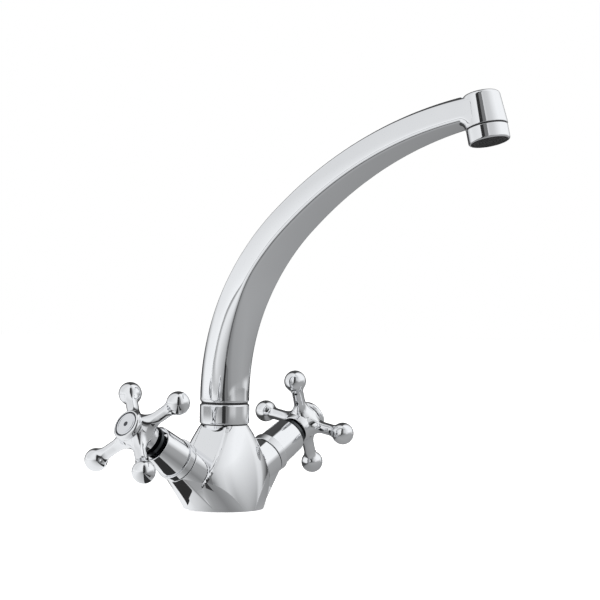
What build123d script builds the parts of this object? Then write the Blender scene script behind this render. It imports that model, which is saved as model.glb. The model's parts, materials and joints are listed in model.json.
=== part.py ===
from build123d import *

import os
from math import cos, radians, sin, sqrt

# A two handle kitchen faucet, in millimetres.
# The origin is the centre of the round base on the deck, +Z is up, the spout points
# along -Y, and the valves lean out along -X (hot) and +X (cold).

os.makedirs("parts", exist_ok=True)

# ---------------------------------------------------------------- driving dimensions

SIDES = {"hot": -1, "cold": 1}

# fits
running_clearance = 0.08
slip_clearance = 0.05
seat_gap = 0.3

# body casting
base_radius = 25.9
belly_height = 17.3
belly_half_width = 35.1
belly_half_depth = 23.5
neck_height = 53.5
neck_radius = 15.4
flank_distance = 31.0
flank_edge_round = 2.2
stub_radius = 13.0
stub_length = 8.5
neck_bore_radius = 10.5
neck_bore_depth = 24.0
neck_passage_radius = 6.0
neck_passage_sump = 1.5

# valve arms, which lean up from the middle of the casting
valve_lean = 30.0
valve_root_height = 9.0
arm_radius = 13.4
arm_end = 44.4
arm_bore_radius = 10.25
arm_bore_floor = 31.5
washer_recess_radius = 12.3
washer_recess_depth = 0.8
horn_top_half_width = 11.9
horn_base_half_width = 15.0
horn_base_keel = 3.0
horn_facet_angle = 37.0
horn_keel_angle = 17.8

# underside of the casting
gasket_inner_radius = 19.5
gasket_outer_radius = 23.6
gasket_thickness = 2.0
inlet_radius = 4.5
inlet_depth = 12.0
inlet_offset_x = 8.5
inlet_offset_y = 5.0
stud_radius = 3.35
stud_depth = 12.0
stud_offset_y = 10.0
feed_radius = 3.2
feed_start = 9.5
mixing_channel_radius = 2.5
mixing_channel_height = 34.5
mixing_channel_reach = 25.0

# headwork, along its own axis from the point where both valve axes meet
washer_thickness = 1.0
hexagon_across_flats = 19.0
hexagon_height = 6.2
barrel_radius = 8.0
barrel_end = 72.0
barrel_collar_radius = 10.0
barrel_collar_height = 2.0
disc_chamber_radius = 8.4
disc_chamber_top = 42.2
thread_radius = 10.15
seat_seal_height = 2.0
seat_seal_bore = 4.0
fixed_disc_radius = 8.25
fixed_disc_height = 3.0
disc_port_radius = 2.3
disc_port_offset = 4.2
moving_disc_radius = 8.0
moving_disc_height = 2.5
disc_film = 0.05

# skirt round the headwork
skirt_start = 45.0
skirt_rim_height = 5.0
skirt_rim_radius = 13.9
skirt_rim_lower_radius = 13.4
skirt_groove_width = 0.6
skirt_groove_depth = 1.0
skirt_wall_radius = 12.6
skirt_top_radius = 12.0
skirt_length = 25.0
skirt_wall = 1.1
skirt_web_start = 64.0
skirt_web_height = 2.0

# spindle
stem_radius = 4.5
spindle_flange_radius = 7.8
spindle_flange_height = 2.6
spline_radius = 3.9
spline_start = 76.0
spline_end = 83.0
spline_teeth = 20
spline_tooth_depth = 0.5
stem_ring_place = 57.0
stem_ring_thickness = 1.7
clip_place = 74.3
clip_thickness = 0.9
clip_groove_depth = 0.9
clip_radius = 6.4
screw_radius = 2.0
screw_length = 9.0
screw_head_radius = 3.6
screw_head_height = 2.4
screw_socket = 2.5
screw_room = 1.0

# cross handle
hub_start = 76.5
hub_lower_radius = 9.5
hub_middle_radius = 10.4
hub_top_radius = 9.8
hub_end = 92.3
hub_web_height = 2.0
hub_recess_radius = 8.35
hub_recess_floor = 88.2
cross_centre = 86.3
ball_radius = 7.3
ball_distance = 33.2
arm_waist_radius = 3.9
arm_waist_distance = 19.0
arm_root_radius = 5.9
arm_root_distance = 8.5
ball_neck_round = 8.0
arm_turn_angle = {"hot": 39.8, "cold": 12.0}

# cap of the handle
cap_start = 92.7
cap_end = 97.0
cap_radius = 10.3
cap_edge_radius = 8.9
cap_seat_radius = 8.3
index_disc_radius = 8.2
index_disc_thickness = 1.6
index_disc_inset = 0.2
dot_radius = 1.6
dot_depth = 0.5

# collar nut and the swivel inside it
collar_gap = 0.3
collar_height = 13.6
collar_radius = 16.0
collar_edge_round = 0.9
collar_lip_height = 2.1
slip_ring_height = 1.1
retaining_ring_height = 1.6
retaining_ring_radius = 12.6
tail_length = 22.0
tail_bore_radius = 6.6
tail_ring_thickness = 2.4
tail_ring_depths = {"lower": 18.0, "upper": 11.0}

# spout: centre line of three tangent arcs
spout_lead = 4.4
spout_arc_radii = (133.0, 148.5, 282.0)
spout_arc_turns = (30.0, 19.6, 34.75)
spout_root_radius = 15.9
spout_root_outer_edge = 9.8
spout_root_inner_edge = 12.8
spout_root_flat = 0.15
spout_blend_start = 8.0
spout_blend_end = 84.0
blade_half_width = 14.4
blade_tip_outer_half_width = 11.0
blade_tip_inner_half_width = 11.8
blade_outer_edge = 6.1
blade_tip_outer_edge = 5.0
blade_inner_edge = 9.2
blade_tip_inner_edge = 7.4
blade_crown = 3.5
blade_side_bulge = 0.35
blade_inner_bulge = 0.4
spout_spans = 10
waterway_radius = 4.6

# spout head, on its own tilted axis
head_tilt = 14.0
head_bar_height = 20.0
head_radius = 12.2
head_top_radius = 10.9
head_start = 9.0
head_height = 28.4
head_dome_round = 2.4
head_bore_radius = 10.2
head_bore_depth = 10.0
head_gusset_round = 5.6

# aerator
aerator_radius = 11.9
aerator_height = 8.6
aerator_wall = 1.6
aerator_thread_radius = 10.1
aerator_thread_height = 5.0
aerator_lip = 1.2
aerator_lip_height = 1.4
insert_height = 8.0
screen_thickness = 0.5
screen_hole_radius = 0.5
screen_pitch = 2.6
outlet_washer_height = 1.4

# ---------------------------------------------------------------- places and axes

collar_start = neck_height + collar_gap
collar_end = collar_start + collar_height
spout_foot = collar_end + collar_gap
stub_top = neck_height + stub_length
passage_floor = mixing_channel_height - mixing_channel_radius - neck_passage_sump
tail_end = stub_top - tail_length
tail_radius = neck_bore_radius - running_clearance
headwork_start = arm_end - washer_recess_depth + washer_thickness
seal_top = arm_bore_floor + seat_seal_height
fixed_disc_top = seal_top + fixed_disc_height
moving_disc_start = fixed_disc_top + disc_film
moving_disc_top = moving_disc_start + moving_disc_height
spindle_flange_top = moving_disc_top + spindle_flange_height
valve_root = Vector(0, 0, valve_root_height)


def valve_direction(side):
    """Unit vector from the middle of the casting out along one valve."""
    return Vector(side * cos(radians(valve_lean)), 0, sin(radians(valve_lean)))


def valve_axis(side):
    """Axis that one valve and its handle turn on."""
    return Axis(valve_root, valve_direction(side))


def valve_section(side):
    """Plane whose x runs along the valve and whose y is the distance from its axis."""
    return Plane(valve_root, x_dir=valve_direction(side), z_dir=(0, -side, 0))


def valve_plane(side, distance):
    """Plane square to the valve, with its x pointing to the upper side."""
    up = Vector(-side * sin(radians(valve_lean)), 0, cos(radians(valve_lean)))
    outward = valve_direction(side)
    return Plane(valve_root + outward * distance, x_dir=up, z_dir=outward)


def save(piece, name):
    """Label one finished piece and write it as a STEP file."""
    piece.label = name
    export_step(piece, f"parts/{name}.step")


def mix(first, second, share):
    """Value between two values."""
    return first + (second - first) * share


# ---------------------------------------------------------------- body casting


def make_body_casting():
    """The casting: round base, belly, two arms and the neck, with its water passages."""
    up = Plane.XY
    with BuildPart() as body_casting:
        with BuildSketch(up):
            Circle(base_radius)
        with BuildSketch(up.offset(belly_height)):
            Ellipse(belly_half_width, belly_half_depth)
        with BuildSketch(up.offset(neck_height)):
            Circle(neck_radius)
        loft()
        for side in SIDES.values():
            split(bisect_by=valve_plane(side, flank_distance), keep=Keep.BOTTOM)
        flank_faces = [
            body_casting.faces().sort_by(valve_axis(side))[-1] for side in SIDES.values()
        ]
        fillet(ShapeList(flank_faces).edges(), flank_edge_round)
        for side in SIDES.values():
            with BuildSketch(valve_plane(side, flank_distance - arm_radius)):
                Circle(arm_radius)
            extrude(amount=arm_end - flank_distance + arm_radius)
            facet = radians(horn_facet_angle)
            keel = radians(horn_keel_angle)
            end_facet = (-arm_radius * cos(facet), arm_radius * sin(facet))
            end_keel = (-arm_radius * cos(keel), arm_radius * sin(keel))
            end_top = sqrt(arm_radius**2 - horn_top_half_width**2)
            with BuildSketch(valve_plane(side, arm_end)):
                with BuildLine():
                    Line((end_top, horn_top_half_width), end_facet)
                    Line(end_facet, end_keel)
                    ThreePointArc(end_keel, (-arm_radius, 0), (end_keel[0], -end_keel[1]))
                    Line((end_keel[0], -end_keel[1]), (end_facet[0], -end_facet[1]))
                    Line((end_facet[0], -end_facet[1]), (end_top, -horn_top_half_width))
                    Line((end_top, -horn_top_half_width), (end_top, horn_top_half_width))
                make_face()
            base_facet = (
                -sqrt(base_radius**2 - horn_base_half_width**2), horn_base_half_width,
            )
            base_keel = (-sqrt(base_radius**2 - horn_base_keel**2), horn_base_keel)
            with BuildSketch(Plane((0, 0, 0), x_dir=(-side, 0, 0), z_dir=(0, 0, 1))):
                with BuildLine():
                    Line((0, horn_base_half_width), base_facet)
                    Line(base_facet, base_keel)
                    ThreePointArc(base_keel, (-base_radius, 0), (base_keel[0], -base_keel[1]))
                    Line((base_keel[0], -base_keel[1]), (base_facet[0], -base_facet[1]))
                    Line((base_facet[0], -base_facet[1]), (0, -horn_base_half_width))
                    Line((0, -horn_base_half_width), (0, horn_base_half_width))
                make_face()
            loft(ruled=True)
        with BuildSketch(up.offset(neck_height)):
            Circle(stub_radius)
        extrude(amount=stub_length)
        # neck bore and mixing chamber
        with BuildSketch(up.offset(stub_top)):
            Circle(neck_bore_radius)
        extrude(amount=-neck_bore_depth, mode=Mode.SUBTRACT)
        with BuildSketch(up.offset(stub_top)):
            Circle(neck_passage_radius)
        extrude(amount=passage_floor - stub_top, mode=Mode.SUBTRACT)
        # valve bores, their feeds and the channel that joins both outlets
        for side in SIDES.values():
            with BuildSketch(valve_plane(side, arm_end)):
                Circle(washer_recess_radius)
            extrude(amount=-washer_recess_depth, mode=Mode.SUBTRACT)
            with BuildSketch(valve_plane(side, arm_end)):
                Circle(arm_bore_radius)
            extrude(amount=arm_bore_floor - arm_end, mode=Mode.SUBTRACT)
            with BuildSketch(valve_plane(side, arm_bore_floor)):
                Circle(feed_radius)
            extrude(amount=feed_start - arm_bore_floor, mode=Mode.SUBTRACT)
        with BuildSketch(Plane.YZ.offset(-mixing_channel_reach)):
            with Locations((0, mixing_channel_height)):
                Circle(mixing_channel_radius)
        extrude(amount=2 * mixing_channel_reach, mode=Mode.SUBTRACT)
        # underside: gasket groove, two hose inlets and the stud hole
        with BuildSketch(up):
            Circle(gasket_outer_radius)
            Circle(gasket_inner_radius, mode=Mode.SUBTRACT)
        extrude(amount=gasket_thickness, mode=Mode.SUBTRACT)
        with BuildSketch(up):
            with Locations((-inlet_offset_x, inlet_offset_y), (inlet_offset_x, inlet_offset_y)):
                Circle(inlet_radius)
        extrude(amount=inlet_depth, mode=Mode.SUBTRACT)
        with BuildSketch(up):
            with Locations((0, -stud_offset_y)):
                Circle(stud_radius)
        extrude(amount=stud_depth, mode=Mode.SUBTRACT)
    save(body_casting.part, "body_casting")


def make_base_gasket():
    """Rubber ring in the groove under the base."""
    with BuildPart() as base_gasket:
        with BuildSketch(Plane.XY):
            Circle(gasket_outer_radius - slip_clearance)
            Circle(gasket_inner_radius + slip_clearance, mode=Mode.SUBTRACT)
        extrude(amount=gasket_thickness)
    save(base_gasket.part, "base_gasket")


# ---------------------------------------------------------------- valves


def make_headwork_washer(name, side):
    """Washer between the headwork's hexagon and the casting."""
    with BuildPart() as headwork_washer:
        with BuildSketch(valve_plane(side, headwork_start - washer_thickness)):
            Circle(washer_recess_radius - slip_clearance)
            Circle(thread_radius + slip_clearance, mode=Mode.SUBTRACT)
        extrude(amount=washer_thickness)
    save(headwork_washer.part, f"{name}_headwork_washer")


def make_headwork_body(name, side):
    """Shell of the valve cartridge: threaded foot, hexagon, barrel and top collar."""
    collar_top = barrel_end + barrel_collar_height
    bore = stem_radius + slip_clearance
    corner = hexagon_across_flats / 2
    with BuildPart() as headwork_body:
        with BuildSketch(valve_section(side)):
            with BuildLine():
                Polyline(
                    (seal_top, disc_chamber_radius),
                    (seal_top, thread_radius),
                    (headwork_start, thread_radius),
                    (headwork_start, corner),
                    (headwork_start + hexagon_height, corner),
                    (headwork_start + hexagon_height, barrel_radius),
                    (barrel_end, barrel_radius),
                    (barrel_end, barrel_collar_radius),
                    (collar_top, barrel_collar_radius),
                    (collar_top, bore),
                    (disc_chamber_top, bore),
                    (disc_chamber_top, disc_chamber_radius),
                    close=True,
                )
            make_face()
        revolve(axis=valve_axis(side))
        with BuildSketch(valve_plane(side, headwork_start)):
            RegularPolygon(corner, 6, major_radius=False)
            Circle(barrel_radius - slip_clearance, mode=Mode.SUBTRACT)
        extrude(amount=hexagon_height)
        with BuildSketch(valve_plane(side, fixed_disc_top)):
            Rectangle(2 * arm_bore_radius, disc_port_radius)
        extrude(amount=moving_disc_height, mode=Mode.SUBTRACT)
    save(headwork_body.part, f"{name}_headwork_body")


def make_seat_seal(name, side):
    """Rubber seal between the casting and the ceramic discs."""
    with BuildPart() as seat_seal:
        with BuildSketch(valve_plane(side, arm_bore_floor)):
            Circle(thread_radius - slip_clearance)
            Circle(seat_seal_bore, mode=Mode.SUBTRACT)
        extrude(amount=seat_seal_height)
    save(seat_seal.part, f"{name}_seat_seal")


def make_fixed_disc(name, side):
    """Ceramic disc that stands still, with its two ports."""
    with BuildPart() as fixed_disc:
        with BuildSketch(valve_plane(side, seal_top)):
            Circle(fixed_disc_radius)
            with Locations((disc_port_offset, 0), (-disc_port_offset, 0)):
                Circle(disc_port_radius, mode=Mode.SUBTRACT)
        extrude(amount=fixed_disc_height)
    save(fixed_disc.part, f"{name}_fixed_disc")


def make_moving_disc(name, side):
    """Ceramic disc that turns with the spindle and opens the ports."""
    with BuildPart() as moving_disc:
        with BuildSketch(valve_plane(side, moving_disc_start)):
            Circle(moving_disc_radius)
            with Locations((0, disc_port_offset), (0, -disc_port_offset)):
                Circle(disc_port_radius, mode=Mode.SUBTRACT)
        extrude(amount=moving_disc_height)
    save(moving_disc.part, f"{name}_moving_disc")


def make_valve_skirt(name, side):
    """Chrome sleeve round the headwork, with its rim, groove and inner web."""
    skirt_end = skirt_start + skirt_length
    rim_end = skirt_start + skirt_rim_height
    groove_end = rim_end + skirt_groove_width
    groove_floor = skirt_wall_radius - skirt_groove_depth + skirt_wall / 2
    web_end = skirt_web_start + skirt_web_height
    inside = skirt_wall_radius - skirt_wall
    inside_top = skirt_top_radius - skirt_wall
    with BuildPart() as valve_skirt:
        with BuildSketch(valve_section(side)):
            with BuildLine():
                Polyline(
                    (skirt_start, skirt_rim_lower_radius),
                    (rim_end, skirt_rim_radius),
                    (rim_end, groove_floor),
                    (groove_end, groove_floor),
                    (groove_end, skirt_wall_radius),
                    (skirt_end, skirt_top_radius),
                    (skirt_end, inside_top),
                    (web_end, inside_top),
                    (web_end, barrel_radius + slip_clearance),
                    (skirt_web_start, barrel_radius + slip_clearance),
                    (skirt_web_start, inside),
                    (skirt_start, inside),
                    close=True,
                )
            make_face()
        revolve(axis=valve_axis(side))
    save(valve_skirt.part, f"{name}_valve_skirt")


# ---------------------------------------------------------------- handles


def make_spindle(name, side):
    """Spindle: flange that drives the moving disc, stem and splined end."""
    ring_floor = stem_radius - stem_ring_thickness
    ring_half = stem_ring_thickness / 2 + slip_clearance
    clip_floor = stem_radius - clip_groove_depth
    with BuildPart() as spindle:
        with BuildSketch(valve_section(side)):
            with BuildLine():
                Polyline(
                    (moving_disc_top, 0),
                    (moving_disc_top, spindle_flange_radius),
                    (spindle_flange_top, spindle_flange_radius),
                    (spindle_flange_top, stem_radius),
                    (stem_ring_place - ring_half, stem_radius),
                    (stem_ring_place - ring_half, ring_floor),
                    (stem_ring_place + ring_half, ring_floor),
                    (stem_ring_place + ring_half, stem_radius),
                    (clip_place, stem_radius),
                    (clip_place, clip_floor),
                    (clip_place + clip_thickness, clip_floor),
                    (clip_place + clip_thickness, stem_radius),
                    (spline_start, stem_radius),
                    (spline_start, spline_radius - spline_tooth_depth),
                    (spline_end, spline_radius - spline_tooth_depth),
                    (spline_end, 0),
                    close=True,
                )
            make_face()
        revolve(axis=valve_axis(side))
        tooth_width = spline_radius / spline_teeth * 3
        with BuildSketch(valve_plane(side, spline_start)):
            with PolarLocations(spline_radius - spline_tooth_depth, spline_teeth):
                Rectangle(2 * spline_tooth_depth, tooth_width)
        extrude(amount=spline_end - spline_start)
        with BuildSketch(valve_plane(side, spline_end)):
            Circle(screw_radius)
        extrude(amount=-screw_length, mode=Mode.SUBTRACT)
    save(spindle.part, f"{name}_spindle")


def make_spindle_o_ring(name, side):
    """Rubber ring in the stem's groove."""
    thickness = stem_ring_thickness / 2
    with BuildPart() as spindle_o_ring:
        with BuildSketch(valve_section(side)):
            with Locations((stem_ring_place, stem_radius - thickness)):
                Circle(thickness)
        revolve(axis=valve_axis(side))
    save(spindle_o_ring.part, f"{name}_spindle_o_ring")


def make_spindle_clip(name, side):
    """Open spring clip above the headwork that keeps the spindle in."""
    clip_bore = stem_radius - clip_groove_depth + slip_clearance
    with BuildPart() as spindle_clip:
        with BuildSketch(valve_plane(side, clip_place)):
            Circle(clip_radius)
            Circle(clip_bore, mode=Mode.SUBTRACT)
            with Locations((clip_radius, 0)):
                Rectangle(2 * clip_radius, clip_bore, mode=Mode.SUBTRACT)
        extrude(amount=clip_thickness)
    save(spindle_clip.part, f"{name}_spindle_clip")


def make_cross_handle(name, side):
    """Cross handle: hub with four waisted arms that end in balls."""
    web_start = spline_end + slip_clearance
    web_end = web_start + hub_web_height
    round_height = arm_waist_radius + ball_neck_round
    round_reach = sqrt((ball_radius + ball_neck_round) ** 2 - round_height**2)
    round_start = ball_distance - round_reach
    touch = ball_radius / (ball_radius + ball_neck_round)
    touch_point = (ball_distance - round_reach * touch, round_height * touch)
    with BuildPart() as cross_handle:
        with BuildSketch(valve_section(side)):
            with BuildLine():
                Line((hub_start, 0), (hub_start, hub_lower_radius))
                ThreePointArc(
                    (hub_start, hub_lower_radius),
                    (cross_centre, hub_middle_radius),
                    (hub_end, hub_top_radius),
                )
                Line((hub_end, hub_top_radius), (hub_end, 0))
                Line((hub_end, 0), (hub_start, 0))
            make_face()
        revolve(axis=valve_axis(side))
        middle = valve_plane(side, cross_centre)
        for quarter in range(4):
            turn = radians(arm_turn_angle[name] + 90 * quarter)
            along = middle.x_dir * cos(turn) + middle.y_dir * sin(turn)
            with BuildSketch(Plane(middle.origin, x_dir=along, z_dir=middle.z_dir)):
                with BuildLine():
                    Line((0, 0), (0, arm_root_radius))
                    Line((0, arm_root_radius), (arm_root_distance, arm_root_radius))
                    waist = TangentArc(
                        (arm_waist_distance, arm_waist_radius),
                        (arm_root_distance, arm_root_radius),
                        tangent=(-1, 0),
                        tangent_from_first=True,
                    )
                    Line(waist @ 0, (round_start, arm_waist_radius))
                    TangentArc(
                        (round_start, arm_waist_radius), touch_point, tangent=(1, 0)
                    )
                    ThreePointArc(
                        touch_point, (ball_distance, ball_radius), (ball_distance + ball_radius, 0)
                    )
                    Line((ball_distance + ball_radius, 0), (0, 0))
                make_face()
            revolve(axis=Axis(middle.origin, along))
        with BuildSketch(valve_plane(side, hub_start)):
            Circle(spline_radius + slip_clearance)
        extrude(amount=web_start - hub_start, mode=Mode.SUBTRACT)
        with BuildSketch(valve_plane(side, hub_end)):
            Circle(hub_recess_radius)
        extrude(amount=hub_recess_floor - hub_end, mode=Mode.SUBTRACT)
        with BuildSketch(valve_plane(side, hub_end)):
            Circle(screw_head_radius + running_clearance)
        extrude(amount=web_end - hub_end, mode=Mode.SUBTRACT)
        with BuildSketch(valve_plane(side, hub_end)):
            Circle(screw_radius + slip_clearance)
        extrude(amount=hub_start - hub_end, mode=Mode.SUBTRACT)
    save(cross_handle.part, f"{name}_cross_handle")


def make_handle_screw(name, side):
    """Socket screw that holds the handle on the spindle."""
    head_start = spline_end + slip_clearance + hub_web_height
    with BuildPart() as handle_screw:
        with BuildSketch(valve_plane(side, head_start)):
            Circle(screw_head_radius)
        extrude(amount=screw_head_height)
        with BuildSketch(valve_plane(side, head_start)):
            Circle(screw_radius - slip_clearance)
        extrude(amount=-screw_length)
        with BuildSketch(valve_plane(side, head_start + screw_head_height)):
            RegularPolygon(screw_socket / 2, 6, major_radius=False)
        extrude(amount=-screw_head_height / 2, mode=Mode.SUBTRACT)
    save(handle_screw.part, f"{name}_handle_screw")


def make_cap_ring(name, side):
    """Ring of the cap, whose spigot stands in the hub's recess."""
    shelf = cap_end - index_disc_thickness - index_disc_inset
    widest = mix(cap_start, cap_end, 0.35)
    inner = index_disc_radius + slip_clearance
    spigot = hub_recess_radius - slip_clearance
    with BuildPart() as cap_ring:
        with BuildSketch(valve_section(side)):
            with BuildLine():
                Polyline(
                    (cap_end, inner),
                    (shelf, inner),
                    (shelf, screw_head_radius + screw_room),
                    (hub_recess_floor, screw_head_radius + screw_room),
                    (hub_recess_floor, spigot),
                    (cap_start, spigot),
                    (cap_start, hub_top_radius),
                    (widest, cap_radius),
                )
                ThreePointArc(
                    (widest, cap_radius),
                    (mix(widest, cap_end, 0.7), mix(cap_radius, cap_edge_radius, 0.35)),
                    (cap_end, cap_edge_radius),
                )
                Line((cap_end, cap_edge_radius), (cap_end, inner))
            make_face()
        revolve(axis=valve_axis(side))
    save(cap_ring.part, f"{name}_cap_ring")


def make_index_disc(name, side):
    """Flat disc in the cap, with a small round pocket."""
    disc_start = cap_end - index_disc_thickness - index_disc_inset
    with BuildPart() as index_disc:
        with BuildSketch(valve_plane(side, disc_start)):
            Circle(index_disc_radius)
        extrude(amount=index_disc_thickness)
        with BuildSketch(valve_plane(side, disc_start + index_disc_thickness)):
            Circle(dot_radius)
        extrude(amount=-dot_depth, mode=Mode.SUBTRACT)
    save(index_disc.part, f"{name}_index_disc")


def make_index_dot(name, side):
    """Small round marker in the disc's pocket."""
    dot_start = cap_end - index_disc_inset - dot_depth
    with BuildPart() as index_dot:
        with BuildSketch(valve_plane(side, dot_start)):
            Circle(dot_radius - slip_clearance)
        extrude(amount=dot_depth)
    save(index_dot.part, f"{name}_index_dot")


# ---------------------------------------------------------------- collar and swivel


def make_spout_collar():
    """Union nut on the neck, whose lip keeps the spout down."""
    lip_start = collar_end - collar_lip_height
    with BuildPart() as spout_collar:
        with BuildSketch(Plane.XY.offset(collar_start)):
            Circle(collar_radius)
        extrude(amount=collar_height)
        fillet(spout_collar.edges().filter_by(GeomType.CIRCLE), collar_edge_round)
        with BuildSketch(Plane.XY.offset(collar_start)):
            Circle(stub_radius + slip_clearance)
        extrude(amount=lip_start - collar_start, mode=Mode.SUBTRACT)
        with BuildSketch(Plane.XY.offset(collar_start)):
            Circle(neck_bore_radius)
        extrude(amount=collar_height, mode=Mode.SUBTRACT)
    save(spout_collar.part, "spout_collar")


def make_spout_slip_ring():
    """Plastic ring on top of the threaded stub that the spout turns on."""
    with BuildPart() as spout_slip_ring:
        with BuildSketch(Plane.XY.offset(stub_top)):
            Circle(retaining_ring_radius)
            Circle(neck_bore_radius, mode=Mode.SUBTRACT)
        extrude(amount=slip_ring_height)
    save(spout_slip_ring.part, "spout_slip_ring")


def make_spout_retaining_ring():
    """Split ring in the tail's groove, held under the collar's lip."""
    ring_start = stub_top + slip_ring_height + slip_clearance
    ring_bore = tail_radius - slip_ring_height + slip_clearance
    with BuildPart() as spout_retaining_ring:
        with BuildSketch(Plane.XY.offset(ring_start)):
            Circle(retaining_ring_radius)
            Circle(ring_bore, mode=Mode.SUBTRACT)
            with Locations((0, retaining_ring_radius)):
                Rectangle(slip_ring_height, 2 * retaining_ring_radius, mode=Mode.SUBTRACT)
        extrude(amount=retaining_ring_height)
    save(spout_retaining_ring.part, "spout_retaining_ring")


def make_spout_o_ring(name, depth):
    """Rubber ring in one groove of the spout's tail."""
    thickness = tail_ring_thickness / 2
    with BuildPart() as spout_o_ring:
        with BuildSketch(Plane.XZ):
            with Locations((tail_radius - thickness, stub_top - depth)):
                Circle(thickness)
        revolve(axis=Axis.Z)
    save(spout_o_ring.part, f"spout_o_ring_{name}")


# ---------------------------------------------------------------- spout

with BuildLine(Plane.YZ) as spine:
    Line((0, spout_foot), (0, spout_foot + spout_lead))
    for arc_radius, arc_turn in zip(spout_arc_radii, spout_arc_turns):
        last = spine.edges()[-1]
        JernArc(last @ 1, last % 1, arc_radius, arc_turn)
spine_wire = spine.wire()


def spine_plane(distance):
    """Plane square to the spout's centre line, with its y to the outer side."""
    share = distance / spine_wire.length
    return Plane(spine_wire @ share, x_dir=(1, 0, 0), z_dir=spine_wire % share)


def blade_half_sizes(distance):
    """Half width, edge offsets and bulges of the spout's section at one distance."""
    blend = (distance - spout_lead - spout_blend_start) / (spout_blend_end - spout_blend_start)
    blend = min(1.0, max(0.0, blend))
    run = (distance - spout_lead - spout_blend_end) / (
        spine_wire.length - spout_lead - spout_blend_end
    )
    run = min(1.0, max(0.0, run))
    outer = mix(spout_root_outer_edge, mix(blade_outer_edge, blade_tip_outer_edge, run), blend)
    inner = mix(spout_root_inner_edge, mix(blade_inner_edge, blade_tip_inner_edge, run), blend)
    outer_width = mix(blade_half_width, blade_tip_outer_half_width, run)
    inner_width = mix(blade_half_width, blade_tip_inner_half_width, run)
    side_width = mix(outer_width, inner_width, 0.5) + blade_side_bulge
    root_outer_x = sqrt(spout_root_radius**2 - spout_root_outer_edge**2)
    root_inner_x = sqrt(spout_root_radius**2 - spout_root_inner_edge**2)
    outer_x = mix(root_outer_x, outer_width, blend)
    inner_x = mix(root_inner_x, inner_width, blend)
    side_x = mix(spout_root_radius, side_width, blend)
    side_y = mix(0, (outer - inner) / 2, blend)
    root_bulge = spout_root_radius - spout_root_flat
    crown = mix(root_bulge - spout_root_outer_edge, blade_crown, blend)
    keel = mix(root_bulge - spout_root_inner_edge, blade_inner_bulge, blend)
    return outer, inner, outer_x, inner_x, side_x, side_y, crown, keel


def head_plane(height):
    """Plane square to the head's axis, at a height above the outlet."""
    tilt = radians(head_tilt)
    up = Vector(0, sin(tilt), cos(tilt))
    return Plane(
        spine_wire @ 1 + up * (height - head_bar_height), x_dir=(1, 0, 0), z_dir=up
    )


def head_section():
    """Plane whose x is the distance from the head's axis and whose y is the height."""
    foot = head_plane(0)
    return Plane(foot.origin, x_dir=(1, 0, 0), z_dir=foot.y_dir * -1)


def head_axis():
    """Axis of the head and of the aerator."""
    return Axis(head_plane(0).origin, head_plane(0).z_dir)


def make_spout():
    """The cast arch: round foot, blade with two sharp inner edges, head and tail."""
    ring_groove = tail_radius - tail_ring_thickness
    ring_half = tail_ring_thickness / 2 + slip_clearance
    clip_start = stub_top + slip_ring_height + slip_clearance
    dome_height = head_height - head_dome_round
    gusset_radius = head_radius + head_gusset_round
    gusset_top = head_start + head_gusset_round
    with BuildPart() as spout:
        # gusset under the blade, round the back of the head
        with BuildSketch(head_section()):
            with BuildLine():
                Line((head_top_radius, head_start), (head_radius, head_start))
                TangentArc(
                    (head_radius, head_start), (gusset_radius, gusset_top), tangent=(0, 1)
                )
                Line((gusset_radius, gusset_top), (gusset_radius, head_bar_height))
                Line((gusset_radius, head_bar_height), (head_top_radius, head_bar_height))
                Line((head_top_radius, head_bar_height), (head_top_radius, head_start))
            make_face()
        revolve(axis=head_axis(), revolution_arc=180)
        for side in SIDES.values():
            wall = Plane.YZ.offset(side * blade_tip_inner_half_width)
            split(bisect_by=wall, keep=Keep.BOTTOM if side > 0 else Keep.TOP)
        # blade
        for station in range(spout_spans + 1):
            distance = spine_wire.length * station / spout_spans
            outer, inner, outer_x, inner_x, side_x, side_y, crown, keel = blade_half_sizes(distance)
            with BuildSketch(spine_plane(distance)):
                with BuildLine():
                    ThreePointArc((-inner_x, -inner), (0, -inner - keel), (inner_x, -inner))
                    ThreePointArc((inner_x, -inner), (side_x, side_y), (outer_x, outer))
                    ThreePointArc((outer_x, outer), (0, outer + crown), (-outer_x, outer))
                    ThreePointArc((-outer_x, outer), (-side_x, side_y), (-inner_x, -inner))
                make_face()
        loft()
        with BuildSketch(head_section()):
            with BuildLine():
                Line((0, head_start), (head_radius, head_start))
                Line((head_radius, head_start), (head_top_radius, dome_height))
                ThreePointArc(
                    (head_top_radius, dome_height),
                    (
                        head_top_radius - head_dome_round * (1 - cos(radians(45))),
                        dome_height + head_dome_round * sin(radians(45)),
                    ),
                    (head_top_radius - head_dome_round, head_height),
                )
                Line((head_top_radius - head_dome_round, head_height), (0, head_height))
                Line((0, head_height), (0, head_start))
            make_face()
        revolve(axis=head_axis())
        with BuildSketch(Plane.XY.offset(tail_end)):
            Circle(tail_radius)
        extrude(amount=spout_foot - tail_end)
        for depth in tail_ring_depths.values():
            with BuildSketch(Plane.XY.offset(stub_top - depth - ring_half)):
                Circle(tail_radius)
                Circle(ring_groove, mode=Mode.SUBTRACT)
            extrude(amount=2 * ring_half, mode=Mode.SUBTRACT)
        with BuildSketch(Plane.XY.offset(clip_start)):
            Circle(tail_radius)
            Circle(tail_radius - slip_ring_height, mode=Mode.SUBTRACT)
        extrude(amount=retaining_ring_height, mode=Mode.SUBTRACT)
        with BuildSketch(Plane.XY.offset(tail_end)):
            Circle(tail_bore_radius)
        extrude(amount=spout_foot - tail_end, mode=Mode.SUBTRACT)
        with BuildSketch(Plane.XY.offset(spout_foot)):
            Circle(waterway_radius)
        sweep(path=spine_wire, mode=Mode.SUBTRACT)
        with BuildSketch(head_plane(head_start)):
            Circle(head_bore_radius)
        extrude(amount=head_bore_depth, mode=Mode.SUBTRACT)
    save(spout.part, "spout")


# ---------------------------------------------------------------- aerator


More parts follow.
